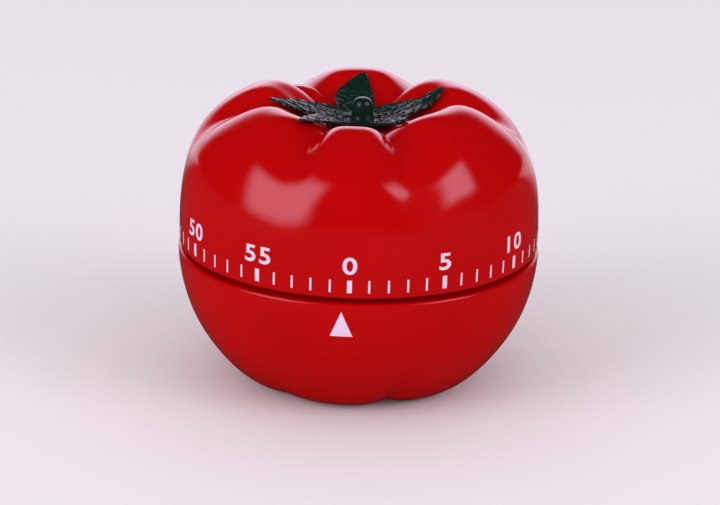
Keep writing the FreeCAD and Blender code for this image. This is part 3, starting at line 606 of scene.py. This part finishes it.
deselect()
bpy.ops.mesh.primitive_circle_add(vertices=3, radius=1, fill_type="NGON")
pointer = bpy.context.object
pointer.name = pointer.data.name = "pointer_print"
POINTER_LOW, POINTER_HIGH, POINTER_WIDTH = PARTING - 7.9, PARTING - 2.7, 4.4
for vertex, (x, z) in zip(pointer.data.vertices, [(0, POINTER_HIGH),
                                                   (-POINTER_WIDTH / 2, POINTER_LOW),
                                                   (POINTER_WIDTH / 2, POINTER_LOW)]):
    vertex.co = Vector((x, z, 0)) * MM
cut_lines((-2.2, 2.2), (POINTER_LOW, POINTER_HIGH), 0.4)
printed(pointer, LOWER_CREASES, lower_poles)
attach(pointer, "base")


def white_ink():
    """Matt pad ink, thinner in specks where the red shows through."""
    material, tree, place = coordinates("white_ink")
    speck = tree.grain(place, 2600.0, 2.0)
    thin = tree.add("ShaderNodeMapRange", {}, speck, 0.62, 0.75, 0.0, 0.35)
    colour = tree.blend(thin, (0.74, 0.60, 0.74, 1), (0.66, 0.2, 0.28, 1))
    ink = tree.add("ShaderNodeBsdfPrincipled", {}, colour, 0.0, 0.42 + 0.1 * speck)
    tree.add("ShaderNodeOutputMaterial", {}, ink)
    return material


ink_white = white_ink()
scale_print.data.materials.clear()
scale_print.data.materials.append(ink_white)
pointer.data.materials.append(ink_white)

# ---- Calyx: five leaves and a plate moulded in one piece of dark green soft plastic, with
# overlapping leathery scales and a raised rim. It is pinned on the crown and covers the screw.
PLATE_TOP = CROWN + 1.0
PLATE_RADIUS, PLATE_SLOPE = 4.7, 0.28
LEAF_START, LEAF_BLEND = 6.5, 4.0
LEAF_GAP, LEAF_CLEARANCE, LEAF_FALL = 0.75, 0.15, 0.3
SHEET = 0.5
RIM_RISE, RIM_START = 0.16, 0.9
LEAF_TIPS = [(-29.6, 21.1), (33.5, 17.4), (112.5, 17.0), (183.0, 16.9), (276.5, 18.1)]
VALLEYS = [(-1.2, 4.7), (81.0, 7.7), (160.0, 6.0), (230.0, 6.6), (290.0, 9.0)]
LIFTS = [-0.5, 0.6, 1.1, 0.3, -0.2]
BULGES = [(0.3, 0.5), (0.4, 0.3), (0.8, 0.9), (0.5, 2.6), (1.25, 0.95)]
ALONG, ACROSS = 88, 22
SCALE_SIZE = 1.0
SCALE_STRETCH = 1.7
SCALE_RISE = 0.26
SCALE_SEED = 3
noise.seed_set(SCALE_SEED)


def compass_point(angle, radius):
    turn = math.radians(angle)
    return Vector((radius * math.sin(turn), -radius * math.cos(turn)))


def skin_height(point):
    """Height of the dial's skin above a point inside its crest."""
    radius = point.length
    if radius <= CROWN_RADIUS:
        return CROWN
    angle = math.degrees(math.atan2(point.x, -point.y))
    poles = upper_poles(*lobe_at(UPPER_CREASES, angle))
    return spline(poles, halved(0.5, 1.0, 16, lambda t: spline(poles, t)[0] > radius))[1]


def smoothed(share):
    """Smooth step from 0 to 1."""
    share = min(1.0, max(0.0, share))
    return share * share * (3 - 2 * share)


def leaf_side(tip, valley, bulge, u):
    """Point on a leaf's edge, from the valley beside it to its tip."""
    chord = tip - valley
    outward = Vector((chord.y, -chord.x)).normalized()
    if outward.dot(valley.normalized() * chord.length - chord) < 0:
        outward = -outward
    point = valley.lerp(tip, u)
    return point + outward * bulge * 4 * u * (1 - u) * (1.1 - 0.2 * u)


def side_columns(index, side):
    """Half a leaf: points on its middle line and on its edge, and the share along it."""
    tip = compass_point(*LEAF_TIPS[index])
    valley = compass_point(*VALLEYS[index if side else index - 1])
    bulge = BULGES[index][side]
    steps = [i / ALONG for i in range(ALONG + 1)]
    return [(tip * u, leaf_side(tip, valley, bulge, u), u) for u in steps]


def bearing_heights(index):
    """Height of the skin that carries a leaf, at each step along it."""
    heights = []
    for i in range(0, ALONG + 1, 4):
        carried = []
        for side in (0, 1):
            middle, edge, _ = side_columns(index, side)[i]
            carried += [skin_height(middle.lerp(edge, share)) for share in (0, 0.45, 0.9)]
        heights.append(max(carried))
    near = [heights[max(0, i - 2):i + 3] for i in range(len(heights))]
    return [sum(few) / len(few) for few in near]


def leather(point, leaf):
    """Relief of a leaf's moulded scales, 0 in a groove, rising along each scale."""
    axis = compass_point(LEAF_TIPS[leaf][0], 1)
    along = point.dot(axis) / SCALE_STRETCH
    across = point.dot(Vector((-axis.y, axis.x)))
    place = Vector((along, across, 3.7 * leaf)) / SCALE_SIZE
    drift = noise.noise_vector(place * 0.7) * 0.3
    gaps, centres = noise.voronoi(place + drift)
    pad = smoothed((gaps[1] - gaps[0]) / 0.3)
    lean = (place + drift - centres[0]).x
    return pad * (0.66 + 0.7 * lean) + 0.05 * noise.noise(place * 3.1)


calyx_columns = []
for index in range(5):
    bearing = bearing_heights(index)
    for side in (0, 1):
        spans = side_columns(index, side)
        for middle, edge, u in (spans if side == 0 else reversed(spans)):
            step = u * (len(bearing) - 1)
            lower_step = min(int(step), len(bearing) - 2)
            level = bearing[lower_step] + (bearing[lower_step + 1] - bearing[lower_step]) \
                * (step - lower_step)
            calyx_columns.append((middle, edge, u, level, index))

deselect()
bpy.ops.mesh.primitive_grid_add(x_subdivisions=len(calyx_columns), y_subdivisions=ACROSS, size=1)
calyx = bpy.context.object
calyx.name = calyx.data.name = "calyx_leaves"
per_row = len(calyx_columns) + 1
for vertex in calyx.data.vertices:
    row, column = divmod(vertex.index, per_row)
    middle, edge, u, level, leaf = calyx_columns[column % len(calyx_columns)]
    share = row / ACROSS
    point = middle.lerp(edge, share)
    radius = point.length
    dish = PLATE_TOP + PLATE_SLOPE * max(0.0, radius - PLATE_RADIUS)
    skin = skin_height(point)
    rest = max(0.5 * level + 0.5 * skin, skin + LEAF_CLEARANCE) + LEAF_GAP - LEAF_FALL * u
    rest += LIFTS[leaf] * u * u
    height = dish + (max(rest, dish) - dish) * smoothed((radius - LEAF_START) / LEAF_BLEND)
    fade = min(1.0, 6 * (1 - u))
    rim = RIM_RISE * max(0.0, (share - RIM_START) / (1 - RIM_START)) * fade
    relief = leather(point, leaf) * min(1.0, (1 - share) * 9) * fade * min(1.0, 14 * u)
    vertex.co = Vector((point.x, point.y, height + SCALE_RISE * relief + rim)) * MM
bpy.ops.object.mode_set(mode="EDIT")
bpy.ops.mesh.select_all(action="SELECT")
bpy.ops.mesh.remove_doubles(threshold=1e-6)
bpy.ops.mesh.normals_make_consistent(inside=False)
bpy.ops.object.mode_set(mode="OBJECT")
if sum(face.normal.z for face in calyx.data.polygons) < 0:
    bpy.ops.object.mode_set(mode="EDIT")
    bpy.ops.mesh.flip_normals()
    bpy.ops.object.mode_set(mode="OBJECT")
sheet = calyx.modifiers.new("thickness", "SOLIDIFY")
sheet.thickness, sheet.offset = SHEET * MM, -1
bpy.ops.object.modifier_apply(modifier="thickness")
bpy.ops.object.shade_smooth_by_angle(angle=math.radians(50))
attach(calyx, "dial")
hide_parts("calyx")


def green_plastic(name, rough, grain):
    """Dark bottle-green plastic, dull and faintly grained."""
    material, tree, place = coordinates(name)
    cloud = tree.grain(place, 700.0, 3.0)
    colour = tree.blend(cloud, (0.0018, 0.013, 0.008, 1), (0.005, 0.026, 0.018, 1))
    fine = tree.grain(place, 4500.0, 3.0)
    bump = tree.add("ShaderNodeBump", {}, grain, 0.0001, Height=fine)
    plastic = tree.add("ShaderNodeBsdfPrincipled", {}, colour, 0.0, rough + 0.12 * cloud,
                       Normal=bump, Specular_IOR_Level=0.34)
    tree.add("ShaderNodeOutputMaterial", {}, plastic)
    return material


calyx.data.materials.append(green_plastic("calyx_green", 0.2, 0.12))

# ---- Stem: a turned-looking knob moulded in the same green but left glossy, with a domed head over a soft shoulder and a flared foot. Its foot sits a little sunk into the calyx.
STEM_AT = Vector((0.25, -0.9, 0)) * MM
STEM_SUNK = -0.3
STEM_FLUTE = 0.02
STEM_PROFILE = [(2.35, STEM_SUNK), (2.4, 0.0), (2.36, 0.3), (2.16, 0.8), (2.1, 1.5), (2.08, 2.3),
                (2.0, 3.0), (1.78, 3.6), (1.3, 4.08), (0.7, 4.3), (0.0, 4.3)]
stem_places = [(0, 0, 360 * i / 96) for i in range(96)]
stem_curve = [spline(STEM_PROFILE, i / 60) for i in range(61)]
stem_loops = []
for _, _, angle in stem_places:
    flute = 1 + STEM_FLUTE * math.cos(math.radians(5 * angle))
    stem_loops.append([(r * flute, PLATE_TOP + z) for r, z in stem_curve]
                      + [(0.0, PLATE_TOP + STEM_SUNK)])
stem = wrapped("stem_knob", stem_places, stem_loops)
bpy.ops.object.mode_set(mode="EDIT")
bpy.ops.mesh.select_all(action="SELECT")
bpy.ops.transform.translate(value=STEM_AT)
bpy.ops.object.mode_set(mode="OBJECT")
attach(stem, "dial")
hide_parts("stem")
stem.data.materials.append(green_plastic("stem_green", 0.12, 0.05))


# ---- Movement: the clockwork inside and the bell below, all CAD pieces in their own metals.
# Plates and bell are pressed steel, wheels cut brass, arbors and levers polished steel.
def metal(name, tint, deep, rough, brushed):
    """Metal with drawn or brushed lines, cloudy tarnish and a worn gloss."""
    material, tree, place = coordinates(name)
    stretched = tree.add("ShaderNodeMapping", {}, place, Scale=brushed)
    lines = tree.grain(stretched, 1500.0, 4.0)
    cloud = tree.grain(place, 180.0, 3.0)
    colour = tree.blend(cloud, tint, deep)
    bump = tree.add("ShaderNodeBump", {}, 0.12, 0.00005, Height=lines)
    surface = tree.add("ShaderNodeBsdfPrincipled", {}, colour, 1.0,
                       rough + 0.12 * lines + 0.08 * cloud, Normal=bump)
    tree.add("ShaderNodeOutputMaterial", {}, surface)
    return material


def moulded(name, tint, deep, rough):
    """Plain engineering plastic with a fine moulded grain."""
    material, tree, place = coordinates(name)
    cloud = tree.grain(place, 300.0, 3.0)
    fine = tree.grain(place, 5000.0, 2.0)
    bump = tree.add("ShaderNodeBump", {}, 0.15, 0.00005, Height=fine)
    surface = tree.add("ShaderNodeBsdfPrincipled", {}, tree.blend(cloud, tint, deep), 0.0,
                       rough + 0.1 * fine, Normal=bump)
    tree.add("ShaderNodeOutputMaterial", {}, surface)
    return material


EVEN, DRAWN, TURNED = (1, 1, 1), (0.05, 1, 1), (1, 1, 0.05)
FINISHES = {
    "zinc_steel": metal("zinc_plated_steel", (0.62, 0.63, 0.66, 1), (0.5, 0.51, 0.52, 1), 0.28,
                        EVEN),
    "bell_steel": metal("nickelled_bell_steel", (0.7, 0.69, 0.67, 1), (0.56, 0.55, 0.53, 1), 0.14,
                        TURNED),
    "plate_steel": metal("plate_steel", (0.6, 0.6, 0.61, 1), (0.46, 0.46, 0.47, 1), 0.3, DRAWN),
    "turned_brass": metal("turned_brass", (0.78, 0.57, 0.27, 1), (0.62, 0.42, 0.18, 1), 0.2,
                          TURNED),
    "wheel_brass": metal("wheel_brass", (0.8, 0.6, 0.3, 1), (0.66, 0.46, 0.2, 1), 0.24, EVEN),
    "spring_steel": metal("spring_steel", (0.33, 0.36, 0.42, 1), (0.22, 0.24, 0.3, 1), 0.2, TURNED),
    "arbor_steel": metal("arbor_steel", (0.66, 0.66, 0.66, 1), (0.52, 0.52, 0.52, 1), 0.16, TURNED),
    "cam_plastic": moulded("acetal_cream", (0.72, 0.71, 0.66, 1), (0.64, 0.63, 0.57, 1), 0.4),
    "wheel_plastic": moulded("acetal_white", (0.75, 0.74, 0.7, 1), (0.68, 0.67, 0.62, 1), 0.42),
    "calyx_green": calyx.data.materials[0],
    "stem_green": stem.data.materials[0],
    "red_shell": red_abs,
}

for part in frame["record"]["subparts"]:
    node = bpy.data.objects[part["node"]]
    if part["node"] not in ("upper_shell", "lower_shell", "calyx", "stem"):
        finish = FINISHES[part["material_slot"]]
        if not node.material_slots:
            node.data.materials.append(finish)
        for holder in node.material_slots:
            holder.material = finish
